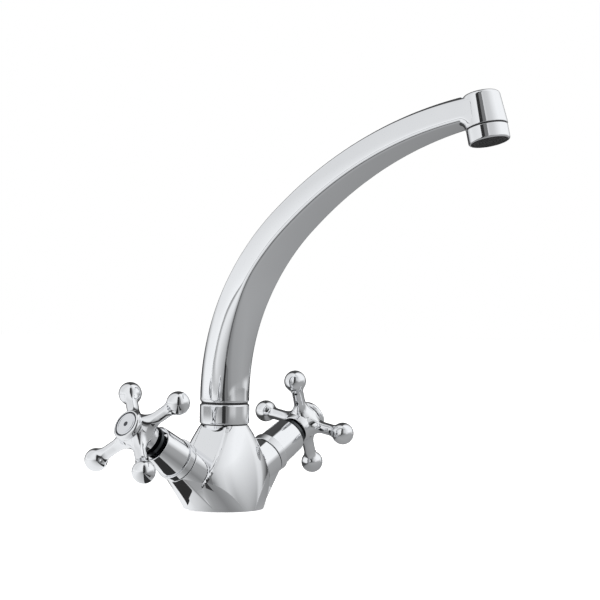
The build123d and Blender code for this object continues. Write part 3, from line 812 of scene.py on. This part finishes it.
@dataclass
class Spout:
    """The cast arch: round foot, blade with two inner ridges, head, gusset and tail."""

    foot: float = 67.7
    lead: float = 4.4
    radii: tuple = (133.0, 148.5, 282.0)
    turns: tuple = (30.0, 19.6, 34.75)
    root: float = 15.9
    root_edges: tuple = (9.8, 12.8)
    root_flat: float = 0.15
    blend: tuple = (8.0, 84.0)
    half_width: float = 14.4
    tip_half_widths: tuple = (11.0, 11.8)
    outer_edges: tuple = (6.1, 5.0)
    inner_edges: tuple = (9.2, 7.4)
    crown: float = 3.5
    side_bulge: float = 0.35
    inner_bulge: float = 0.4
    corner_rounds: tuple = (2.6, 2.6, 1.2, 1.2)
    corner_steps: int = 9
    inner_steps: int = 14
    side_steps: int = 16
    spans: int = 10
    arch_rings: int = 120
    wrap: float = 24.0
    wrap_rings: int = 40
    wrap_rounds: int = 3
    foot_lift: float = 0.35
    foot_round: float = 1.5
    foot_rings: int = 6
    head_tilt: float = 14.0
    head_bar: float = 20.0
    head: tuple = (12.2, 10.9)
    head_start: float = 9.0
    head_height: float = 28.4
    head_rim: float = 0.35
    head_overlap: float = 1.0
    dome: float = 2.4
    head_bore: tuple = (10.2, 19.0)
    gusset: float = 5.6
    gusset_lift: float = 0.12
    tail: float = 10.42
    tail_end: float = 40.0
    tail_overlap: float = 1.0
    tail_bore: float = 6.6
    grooves: tuple = ((44.0, 1.25, 2.4), (51.0, 1.25, 2.4), (63.95, 0.8, 1.1))
    crease: float = 40.0

    @property
    def length(self) -> float:
        """Length of the centre line."""
        arcs = zip(self.radii, self.turns)
        return self.lead + sum(radius * radians(turn) for radius, turn in arcs)

    def centre(self, distance: float) -> tuple:
        """Follows the centre line.

        Args:
            distance: Distance along it.

        Returns:
            The point, and the line's heading there from the vertical.
        """
        def outward(heading: float) -> Vector:
            """Direction away from the centre of an arc."""
            return Vector((0.0, cos(heading), sin(heading)))

        place = Vector((0.0, 0.0, self.foot + min(distance, self.lead)))
        heading, left = 0.0, distance - self.lead
        for radius, turn in zip(self.radii, self.turns):
            if left <= 0:
                break
            swing = left / radius
            if radius != self.radii[-1]:
                swing = min(swing, radians(turn))
            place += (outward(heading + swing) - outward(heading)) * radius
            heading += swing
            left -= radius * swing
        return place, heading

    def section(self, distance: float) -> list:
        """Section of the blade, in its own plane.

        Args:
            distance: Distance along the centre line.

        Returns:
            The ring's points.
        """
        start, stop = self.blend
        share = min(1.0, max(0.0, (distance - self.lead - start) / (stop - start)))
        run = (distance - self.lead - stop) / (self.length - self.lead - stop)
        run = min(1.0, max(0.0, run))
        tips = [between(self.half_width, tip, run) for tip in self.tip_half_widths]
        (outer, outer_x, crown), (inner, inner_x, keel) = (
            (
                between(root, between(*edges, run), share),
                between(sqrt(self.root**2 - root**2), tip, share),
                between(self.root - self.root_flat - root, bulge, share),
            )
            for root, edges, tip, bulge in zip(
                self.root_edges, (self.outer_edges, self.inner_edges), tips,
                (self.crown, self.inner_bulge),
            )
        )
        side_x = between(self.root, sum(tips) / 2 + self.side_bulge, share)
        side_y = between(0, (outer - inner) / 2, share)
        left_in, right_in = Vector((-inner_x, -inner)), Vector((inner_x, -inner))
        left_out, right_out = Vector((-outer_x, outer)), Vector((outer_x, outer))
        return rounded_ring([
            arc_through(left_in, Vector((0, -inner - keel)), right_in, self.inner_steps),
            arc_through(right_in, Vector((side_x, side_y)), right_out, self.side_steps),
            arc_through(right_out, Vector((0, outer + crown)), left_out, self.side_steps),
            arc_through(left_out, Vector((-side_x, side_y)), left_in, self.side_steps),
        ], self.corner_rounds, self.corner_steps)

    @cached_property
    def knots(self) -> list:
        """Rings at the even stations that the arch is drawn through.

        Returns:
            The rings in the frame of the part.
        """
        rings = []
        for station in range(self.spans + 1):
            distance = self.length * station / self.spans
            place, heading = self.centre(distance)
            turn = Matrix(((1, 0), (0, cos(heading)), (0, sin(heading))))
            rings.append([place + turn @ point for point in self.section(distance)])
        return rings

    def point_at(self, number: int, distance: float) -> Vector:
        """Point of a ring at any distance, on a smooth curve through the stations.

        Args:
            number: The point's number in its ring.
            distance: Distance along the centre line.

        Returns:
            The point.
        """
        place = distance / self.length * self.spans
        index = min(self.spans - 1, max(0, int(place)))
        t, line = place - index, [ring[number] for ring in self.knots]
        b, c = line[index], line[index + 1]
        a = line[index - 1] if index else b * 3 - c * 3 + line[2]
        d = line[index + 2] if index < self.spans - 1 else c * 3 - b * 3 + a
        return 0.5 * (
            b * 2 + (c - a) * t + (a * 2 - b * 5 + c * 4 - d) * t**2
            + (b * 3 - a - c * 3 + d) * t**3
        )

    @property
    def head_frame(self) -> Matrix:
        """Frame of the head: Z up its axis from the outlet, Y to the arch.

        Returns:
            The frame in millimetres.
        """
        tilt = radians(self.head_tilt)
        up = Vector((0, sin(tilt), cos(tilt)))
        back = Vector((0, cos(tilt), -sin(tilt)))
        tip = self.centre(self.length)[0]
        return frame_at(tip - up * self.head_bar, back.cross(up), back, up)

    def blade_shell(self) -> Shape:
        """The arch, whose end wraps the head and whose underside runs into the gusset.

        Returns:
            The shell.
        """
        count = len(self.knots[0])

        def ring_at(distance: float) -> list:
            """Ring at any distance."""
            return [self.point_at(number, distance) for number in range(count)]

        rings = []
        for step in range(self.foot_rings + 1):
            angle = radians(90 / self.foot_rings * step)
            share = 1 - self.foot_round * (1 - sin(angle)) / self.root
            points = ring_at(self.foot_lift + self.foot_round * (1 - cos(angle)))
            rings.append([Vector((point.x * share, point.y * share, point.z)) for point in points])
        arch = self.length - self.wrap
        rings += [ring_at(arch * k / self.arch_rings) for k in range(1, self.arch_rings + 1)]
        frame = self.head_frame
        to_head = frame.inverted()
        inside = self.head[0] - self.head_overlap
        first = self.corner_steps - 1
        last = first + self.inner_steps
        for step in range(1, self.wrap_rings + 1):
            ring = []
            for number in range(count):
                goal_end = sqrt(max(0.0, inside**2 - self.knots[-1][number].x**2))
                goal = between(self.wrap, goal_end, step / self.wrap_rings)
                distance = self.length - goal
                for _ in range(self.wrap_rounds):
                    point = to_head @ self.point_at(number, distance)
                    distance += point.y - goal
                if number <= last + self.corner_steps or number == count - 1:
                    edge = first if number == count - 1 else min(max(number, first), last)
                    level = (to_head @ self.point_at(edge, distance)).z
                    point.z -= self.drop(point.xy.length, level)
                ring.append(frame @ point)
            rings.append(ring)
        return lofted(rings)

    def drop(self, radius: float, level: float) -> float:
        """How far the underside comes down to the gusset round the head.

        Args:
            radius: Distance from the head's axis.
            level: Height of the underside there.

        Returns:
            The way down, or nothing outside the gusset.
        """
        centre = self.head[0] + self.gusset
        if radius >= centre:
            return 0.0
        across = centre - max(radius, self.head[0])
        height = self.head_start + sqrt(max(0.0, self.gusset**2 - across**2))
        return max(0.0, level - max(height, self.head_start + self.gusset_lift))

    def head_shell(self) -> Shape:
        """The head on its tilted axis, with its bore.

        Returns:
            The shell.
        """
        low, high = self.head
        bore, floor = self.head_bore
        start, top = self.head_start, self.head_height - self.dome
        line = [(0, floor), (bore, floor), (bore, start), (low, start), (high, top)]
        line += swept(line[-1], (high - self.dome, top), 90) + [(0, self.head_height)]
        return moved(spun(line, FINEST, [(low, start, self.head_rim)]), self.head_frame)

    def tail_shell(self) -> Shape:
        """The tail inside the neck, with its three grooves.

        Returns:
            The shell.
        """
        radius, top = self.tail, self.foot + self.tail_overlap
        line = [(self.tail_bore, self.tail_end), (radius, self.tail_end)]
        for height, half, depth in self.grooves:
            line += [(radius, height - half), (radius - depth, height - half)]
            line += [(radius - depth, height + half), (radius, height + half)]
        return spun(line + [(radius, top), (self.tail_bore, top)])

    def build(self) -> None:
        """Makes the spout's piece."""
        shape = joined(self.blade_shell(), self.head_shell(), self.tail_shell())
        new_piece("spout_polished", shape, CHROME, "spout", "spout", crease=self.crease)


@dataclass
class Aerator:
    """Housing of the aerator, with a black outlet face and a black ring in the gap over it, both
    painted shade.
    """

    radius: float = 11.9
    height: float = 8.3
    wall: float = 1.6
    lip: float = 1.2
    edge: float = 0.3
    rounds: tuple = (0.45, 0.4)
    # Grooved outlet face, black as painted shade inside the opening.
    face: tuple = (10.75, 0.2, 0.68)
    seat: tuple = (10.8, 0.7)
    face_grooves: tuple = (2.0, 3.8, 5.6, 7.4, 9.2)
    groove_size: tuple = (0.7, 0.3)
    # Black ring in the gap between the housing and the head: painted shade.
    shade_ring: tuple = (10.25, 11.3, 8.32, 8.98)
    lip_height: float = 1.4
    thread: float = 10.1
    thread_top: float = 14.0

    def build(self, frame: Matrix) -> None:
        """Makes the aerator's pieces.

        Args:
            frame: The head's frame.
        """
        radius, height = self.radius, self.height
        inside = radius - self.wall - self.lip
        seat, seat_top = self.seat
        upper, lower = self.rounds
        edge, tip, bevel = inside - self.edge, radius - self.lip / 2, self.lip / 2
        shape = spun([
            (edge, seat_top), (seat, seat_top), (seat, 0), (tip, 0), (radius, bevel),
            (radius, height), (self.thread, height), (self.thread, self.thread_top),
            (inside, self.thread_top), (inside, self.lip_height), (edge, self.lip_height),
        ], SMOOTH, [(radius, height, upper), (tip, 0, lower), (radius, bevel, lower)])
        new_piece("housing_polished", moved(shape, frame), CHROME, "spout", "aerator_housing")
        outer, low, high = self.face
        width, deep = self.groove_size
        line = [(0, low)]
        for groove in self.face_grooves:
            line += [(groove, low), (groove, low + deep)]
            line += [(groove + width, low + deep), (groove + width, low)]
        disc = spun(line + [(outer, low), (outer, high), (0, high)])
        # The outlet face and the gap ring are black, as painted shade.
        new_piece("outlet_shade_face", moved(disc, frame), RUBBER_AND_SHADE, "spout")
        new_piece("head_shade_ring", moved(ring_shell(*self.shade_ring), frame), RUBBER_AND_SHADE, "spout")


@dataclass
class Skirt:
    """Chrome sleeve round a headwork, with its rim and groove."""

    handle: Handle
    start: float = 45.0
    rim_end: float = 50.0
    rims: tuple = (13.4, 13.9)
    groove: tuple = (12.15, 50.6)
    wall_radii: tuple = (12.6, 12.0)
    wall: float = 1.1
    end: float = 70.0
    web: tuple = (8.05, 64.0, 66.0)
    rounds: tuple = (0.35, 0.4, 0.25, 0.35)

    def build(self) -> None:
        """Makes one skirt's piece."""
        (low, high), (first, last) = self.rims, self.wall_radii
        floor, groove_end = self.groove
        bore, web_start, web_end = self.web
        inner, top, end = first - self.wall, last - self.wall, self.end
        corners = (low, self.start), (high, self.rim_end), (first, groove_end), (last, end)
        shape = spun([
            (inner, self.start), *corners[:2], (floor, self.rim_end), (floor, groove_end),
            *corners[2:], (top, end), (top, web_end), (bore, web_end), (bore, web_start),
            (inner, web_start),
        ], SMOOTH, [(*corner, size) for corner, size in zip(corners, self.rounds)])
        word = self.handle.word
        new_piece(f"{word}_skirt_polished", moved(shape, valve_frame(self.handle)), CHROME,
                  "fixture", f"{word}_valve_skirt")


@dataclass
class CrossHandle:
    """Cross handle with four waisted arms that end in balls, its cap, and black rings as painted
    shade in the cap's gaps.
    """

    handle: Handle
    hub: tuple = (76.5, 92.3)
    hub_radii: tuple = (9.5, 10.4, 9.8)
    hub_rounds: tuple = (0.5, 0.45)
    hub_steps: int = 14
    recess: tuple = (8.35, 88.2)
    bores: tuple = (3.95, 83.08, 2.05, 85.08, 3.68)
    centre: float = 86.3
    ball: float = 7.3
    ball_distance: float = 33.2
    ball_steps: int = 22
    waist: tuple = (3.9, 17.6)
    root: tuple = (8.1, 7.9)
    root_length: float = 0.1
    neck_round: float = 8.0
    turns: dict = field(default_factory=lambda: {Handle.HOT: 39.8, Handle.COLD: 12.0})
    cap: tuple = (92.9, 97.0, 10.3, 8.9)
    cap_bore: float = 4.6
    cap_widest: float = 0.35
    cap_shoulder: tuple = (0.35, 0.7)
    cap_round: float = 0.3
    cap_steps: int = 8
    slack: float = 0.05
    disc: tuple = (8.2, 95.2, 96.8)
    disc_face: tuple = (7.3, 5.9, 6.3, 96.6)
    dot: tuple = (1.6, 96.3)
    # Black rings in the gap round the disc and in the gap under the cap ring: painted shade.
    shade_rings: tuple = ((7.35, 8.2, 95.22, 95.9), (8.4, 9.5, 92.32, 92.88))

    def hub_shell(self) -> Shape:
        """The hub, bored for the spindle and the screw.

        Returns:
            The shell.
        """
        start, end = self.hub
        low, middle, high = self.hub_radii
        spline, web, screw, seat, head = self.bores
        wide, floor = self.recess
        side = [Vector((low, start)), Vector((middle, self.centre)), Vector((high, end))]
        lower, upper = self.hub_rounds
        return spun([
            (spline, start), *arc_through(*side, self.hub_steps), (wide, end), (wide, floor),
            (head, floor), (head, seat), (screw, seat), (screw, web), (spline, web),
        ], ROUND, [(low, start, lower), (high, end, upper)])

    def arm_shell(self, turn: float) -> Shape:
        """One arm with its ball.

        Args:
            turn: Its angle round the hub, in degrees.

        Returns:
            The arm in the valve's frame.
        """
        (waist, waist_place), (root, root_place) = self.waist, self.root
        flare = ((waist_place - root_place) ** 2 + (root - waist) ** 2) / (2 * (root - waist))
        swing = degrees(asin((waist_place - root_place) / flare))
        rise = waist + self.neck_round
        reach = sqrt((self.ball + self.neck_round) ** 2 - rise**2)
        neck, start = degrees(atan2(reach, rise)), root_place - self.root_length
        line = [(0, start), (root, start), (root, root_place)]
        line += swept(line[-1], (waist + flare, waist_place), -swing)
        line += [(waist, self.ball_distance - reach)]
        line += swept(line[-1], (rise, self.ball_distance - reach), -neck)
        line += swept(line[-1], (0, self.ball_distance), 90 + neck, self.ball_steps)
        raised = Matrix.Translation((0, 0, self.centre))
        level = Matrix.Rotation(radians(90), 4, "Y")
        return moved(spun(line, COARSE), raised @ Matrix.Rotation(radians(turn), 4, "Z") @ level)

    def cap_shell(self) -> Shape:
        """Ring of the cap with its spigot.

        Returns:
            The shell.
        """
        start, end, wide, edge = self.cap
        disc, shelf = self.disc[0] + self.slack, self.disc[1]
        spigot, floor = self.recess[0] - self.slack, self.recess[1]
        under, bore, size = self.hub_radii[2], self.cap_bore, self.cap_round
        widest, (inward, upward) = between(start, end, self.cap_widest), self.cap_shoulder
        shoulder = Vector((between(wide, edge, inward), between(widest, end, upward)))
        return spun([
            (disc, end), (disc, shelf), (bore, shelf), (bore, floor), (spigot, floor),
            (spigot, start), (under, start),
            *arc_through(Vector((wide, widest)), shoulder, Vector((edge, end)), self.cap_steps),
        ], ROUND, [(disc, end, size), (under, start, size)])

    def disc_shell(self) -> Shape:
        """Flat disc in the cap, with a turned groove and the round pocket of the dot.

        Returns:
            The shell.
        """
        _, start, end = self.disc
        radius, line, line_end, line_floor = self.disc_face
        dot, floor = self.dot
        return spun([
            (0, floor), (dot, floor), (dot, end), (line, end), (line, line_floor),
            (line_end, line_floor), (line_end, end), (radius, end), (radius, start), (0, start),
        ], PLAIN, [(radius, end, self.cap_round)])

    def build(self) -> None:
        """Makes the pieces of one handle."""
        word, first = self.handle.word, self.turns[self.handle]
        arms = [self.arm_shell(first + 90 * quarter) for quarter in range(4)]
        # The two gap rings are black, as painted shade.
        line, shade_ring = (ring_shell(*ring) for ring in self.shade_rings)
        for name, shape, finish, *replaced in (
            ("cross_polished", joined(self.hub_shell(), *arms), CHROME, f"{word}_cross_handle"),
            ("cap_polished", self.cap_shell(), CHROME, f"{word}_cap_ring"),
            ("disc_polished", self.disc_shell(), CHROME_TURNED, f"{word}_index_disc"),
            ("cap_line", line, ENAMEL_AND_SHADE), ("cap_seam", shade_ring, ENAMEL_AND_SHADE),
        ):
            new_piece(f"{word}_{name}", moved(shape, valve_frame(self.handle)), finish,
                      f"{word}_handle", *replaced)


# ---- studio


@dataclass
class Studio:
    """Pale floor, soft light, the tent of cards that the chrome mirrors, and the camera.

    Lengths are metres. The tones are (angle, tone) stops, where the angle runs round the part
    from the camera's direction, with the picture's right side positive.
    """

    camera_place: tuple = (-0.76751, -0.78938, 0.13019)
    camera_forward: tuple = (0.72748, 0.68611, 0.00388)
    camera_up: tuple = (-0.01219, 0.00728, 0.99990)
    view_degrees: float = 19.956
    sensor: float = 36.0
    floor_radius: float = 6.0
    floor_tone: float = 0.82
    floor_lift: float = 0.58
    room_light: float = 0.55
    tent_radius: float = 1.4
    drops: tuple = (0.0002, 0.00015, 0.00005)
    tint: tuple = (0.985, 1.0, 1.015)
    wall_low: tuple = (
        (-180, 0.04), (-142, 0.05), (-130, 0.55), (-118, 0.9), (-108, 0.97), (-70, 0.97),
        (-50, 0.92), (-30, 0.75), (-12, 0.5), (10, 0.22), (22, 0.24), (34, 0.55), (46, 0.64),
        (58, 0.4), (92, 0.34), (104, 0.36), (110, 0.66), (118, 0.64), (124, 0.3), (140, 0.05),
        (180, 0.04),
    )
    wall_high: tuple = (
        (-180, 0.06), (-150, 0.08), (-130, 0.66), (-114, 0.8), (-90, 0.74), (-50, 0.85),
        (-20, 0.88), (8, 0.6), (28, 0.66), (48, 0.84), (66, 0.96), (120, 0.97), (140, 0.6),
        (156, 0.08), (180, 0.06),
    )
    wall_heights: tuple = (0.02, 0.42)
    table_near: tuple = (
        (-180, 0.06), (-148, 0.07), (-132, 0.45), (-114, 0.88), (-72, 0.9), (-52, 0.84),
        (-34, 0.62), (-12, 0.34), (10, 0.24), (40, 0.34), (85, 0.38), (115, 0.34), (150, 0.28),
        (161, 0.24), (168, 0.08), (180, 0.06),
    )
    table_far: tuple = (
        (-180, 0.05), (-146, 0.05), (-138, 0.5), (-128, 0.76), (-118, 0.62), (-110, 0.36),
        (-70, 0.36), (-60, 0.55), (-42, 0.6), (-28, 0.38), (-14, 0.26), (10, 0.2), (18, 0.22),
        (28, 0.56), (47, 0.64), (58, 0.42), (86, 0.4), (98, 0.58), (106, 0.76), (120, 0.74),
        (134, 0.3), (144, 0.05), (180, 0.05),
    )
    table_reaches: tuple = (0.78, 1.0)
    flag_distance: float = 0.34
    flag_height: float = 0.70
    flags: tuple = (("dark_flag", -0.066, 0.032, 0.03), ("grey_flag", 0.032, 0.105, 0.18))
    strips: tuple = (
        ("middle_strip", 0.085, 0.34, -0.013, 0.01, 0.04),
        ("left_strip", 0.014, 0.34, -0.046, -0.025, 0.03),
    )
    lamps: tuple = (
        ("left_softbox", (-1.6, -0.5, 1.5), 22.0, 1.4),
        ("right_softbox", (0.9, -1.7, 1.6), 16.0, 1.4),
        ("top_softbox", (0.3, 0.6, 2.2), 14.0, 1.6),
    )
    lit_place: tuple = (0.0, 0.0, 0.12)

    @property
    def camera_angle(self) -> float:
        """Angle of the camera round the part, from +X."""
        return atan2(self.camera_place[1], self.camera_place[0])

    def place_camera(self) -> None:
        """Puts the camera where the photograph was taken from."""
        lens = bpy.data.cameras.new("camera")
        lens.sensor_width = self.sensor
        lens.angle = radians(self.view_degrees)
        camera = in_scene("camera", lens)
        forward = Vector(self.camera_forward).normalized()
        right = forward.cross(Vector(self.camera_up)).normalized()
        camera.matrix_world = frame_at(self.camera_place, right, right.cross(forward), -forward)
        bpy.context.scene.camera = camera

    def staged(self, name: str, shape: Shape) -> tuple:
        """Makes a piece of the studio, which isn't part of the object.

        Args:
            name: Its name.
            shape: Its shape in metres.

        Returns:
            The piece and the empty tree of its material.
        """
        thing = in_scene(name, to_mesh(name, shape))
        material, tree = new_material(name)
        thing.data.materials.append(material)
        return thing, tree

    def seen_share(self, tree: Tree) -> Sock:
        """1 for what the camera sees directly or in metal and glass, 0 for light on surfaces."""
        seen = tree.node("LightPath", {}, "Is Camera Ray")
        return (seen + seen.sibling("Is Glossy Ray") + seen.sibling("Is Transmission Ray")).clamp()

    def lay_floor(self) -> None:
        """Lays the pale floor, which keeps the shadow of the tap."""
        shape = bmesh.new()
        bmesh.ops.create_circle(shape, cap_ends=True, segments=COARSE, radius=self.floor_radius)
        _, tree = self.staged("floor", moved(shape, Matrix.Translation((0, 0, -self.drops[0]))))
        paint = tree.node("BsdfDiffuse", {"Color": (*[self.floor_tone] * 3, 1)})
        lift = self.seen_share(tree) * self.floor_lift
        glow = tree.node("Emission", {"Strength": lift})
        tree.surface(tree.node("AddShader", [paint, glow]))

    def tinted(self, tone: float) -> tuple:
        """A tone with the faint blue of the studio."""
        return tuple(tone * share for share in self.tint)

    def card(self, name: str, shape: Shape, tones: "tuple | float", later: tuple = (),
             span: tuple = (0.0, 1.0), flat: bool = False) -> None:
        """Adds a plain card that only polished metal mirrors.

        Args:
            name: The card's name.
            shape: Its shape in metres.
            tones: One tone, or stops round the part.
            later: The stops at the far end of the span.
            span: Where the tones start and stop to change.
            flat: Whether the span is measured from the middle and not upwards.
        """
        thing, tree = self.staged(name, shape)
        for rays in ("camera", "diffuse", "shadow", "transmission"):
            setattr(thing, f"visible_{rays}", False)
        if isinstance(tones, float):
            colour = (*self.tinted(tones), 1.0)
        else:
            place = tree.node("TexCoord", {}, "Object")
            back = (0, 0, -self.camera_angle)
            turned = tree.node("Mapping", {"Vector": place, "Rotation": back})
            angle = tree.node("TexGradient", {"Vector": turned}, gradient_type="RADIAL")
            ends = [
                tree.node("ValToRGB", {"Fac": angle},
                          stops=[((180 + a) / 360, self.tinted(tone)) for a, tone in stops])
                for stops in (tones, later)
            ]
            reach = tree.node("SeparateXYZ", {"Vector": place}, "Z")
            if flat:
                across, along = reach.sibling("X"), reach.sibling("Y")
                reach = (across * across + along * along) ** 0.5
            share = ((reach - span[0]) * (1 / (span[1] - span[0]))).clamp()
            colour = tree.mix(share, *ends)
        tree.surface(tree.node("Emission", {"Color": colour, "Strength": 1.0}))

    def sheet(self, name: str, place: tuple, size: tuple, tone: float, upright: bool) -> None:
        """Adds a rectangular card.

        Args:
            name: The card's name.
            place: Its middle, seen from the camera: towards it, to the right, up.
            size: Its two sizes.
            tone: Its tone.
            upright: Whether it stands, facing the part.
        """
        shape = bmesh.new()
        bmesh.ops.create_grid(shape, x_segments=1, y_segments=1, size=0.5)
        moved(shape, Matrix.Rotation(self.camera_angle, 4, "Z") @ Matrix.Translation(place)
              @ Matrix.Rotation(radians(90 * upright), 4, "Y") @ Matrix.Diagonal((*size, 1, 1)))
        self.card(name, shape, tone)

    def pitch_tent(self) -> None:
        """Puts a dome and a table of cards round the tap, with the flags by the camera."""
        dome = bmesh.new()
        bmesh.ops.create_uvsphere(
            dome, u_segments=PLAIN, v_segments=COARSEST, radius=self.tent_radius,
        )
        bmesh.ops.bisect_plane(
            dome, geom=dome.verts[:] + dome.edges[:] + dome.faces[:], plane_co=(0, 0, 0),
            plane_no=(0, 0, 1), clear_inner=True,
        )
        self.card("dome", dome, self.wall_low, self.wall_high, self.wall_heights)
        table = bmesh.new()
        bmesh.ops.create_circle(table, cap_ends=True, segments=PLAIN, radius=self.tent_radius)
        moved(table, Matrix.Translation((0, 0, -self.drops[1])))
        self.card("table", table, self.table_near, self.table_far, self.table_reaches, True)
        tall = self.flag_height
        for name, left, right, tone in self.flags:
            place = (self.flag_distance, (left + right) / 2, tall / 2)
            self.sheet(name, place, (tall, right - left), tone, True)
        for name, near, far, left, right, tone in self.strips:
            place = ((near + far) / 2, (left + right) / 2, -self.drops[2])
            self.sheet(name, place, (far - near, right - left), tone, False)

    def light(self) -> None:
        """Adds the soft lights and the white world."""
        world = bpy.data.worlds.new("white_room")
        bpy.context.scene.world = world
        world.use_nodes = True
        tree = Tree(world.node_tree)
        strength = self.room_light + (1 - self.room_light) * self.seen_share(tree)
        glow = tree.node("Background", {"Color": (1, 1, 1, 1), "Strength": strength})
        tree.surface(glow, "World")
        for name, place, power, size in self.lamps:
            lamp = bpy.data.lights.new(name, "AREA")
            lamp.energy = power
            lamp.size = size
            box = in_scene(name, lamp)
            box.location = place
            aim = Vector(self.lit_place) - Vector(place)
            box.rotation_euler = aim.to_track_quat("-Z", "Y").to_euler()
            box.visible_glossy = False


# ---- faucet


def main() -> None:
    """Builds the studio and the faucet, and reports each piece."""
    logging.basicConfig(level=logging.INFO, format="%(message)s")
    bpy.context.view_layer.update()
    bpy.context.scene.view_settings.view_transform = "Standard"
    studio = Studio()
    studio.place_camera()
    studio.lay_floor()
    studio.pitch_tent()
    studio.light()
    slots = {part["node"]: part["material_slot"] for part in frame["record"]["subparts"]}
    for node, piece in frame["nodes"].items():
        # Nodes in shaded gaps and openings get the painted shade; the rest get their slot's finish.
        dress(piece, SHADED if node.endswith(DARK_NODES) else SLOT_FINISH[slots[node]])
    spout = Spout()
    Casting().build()
    Collar().build()
    spout.build()
    Aerator().build(spout.head_frame)
    for handle in Handle:
        Skirt(handle).build()
        CrossHandle(handle).build()


if __name__ == "__main__":
    main()
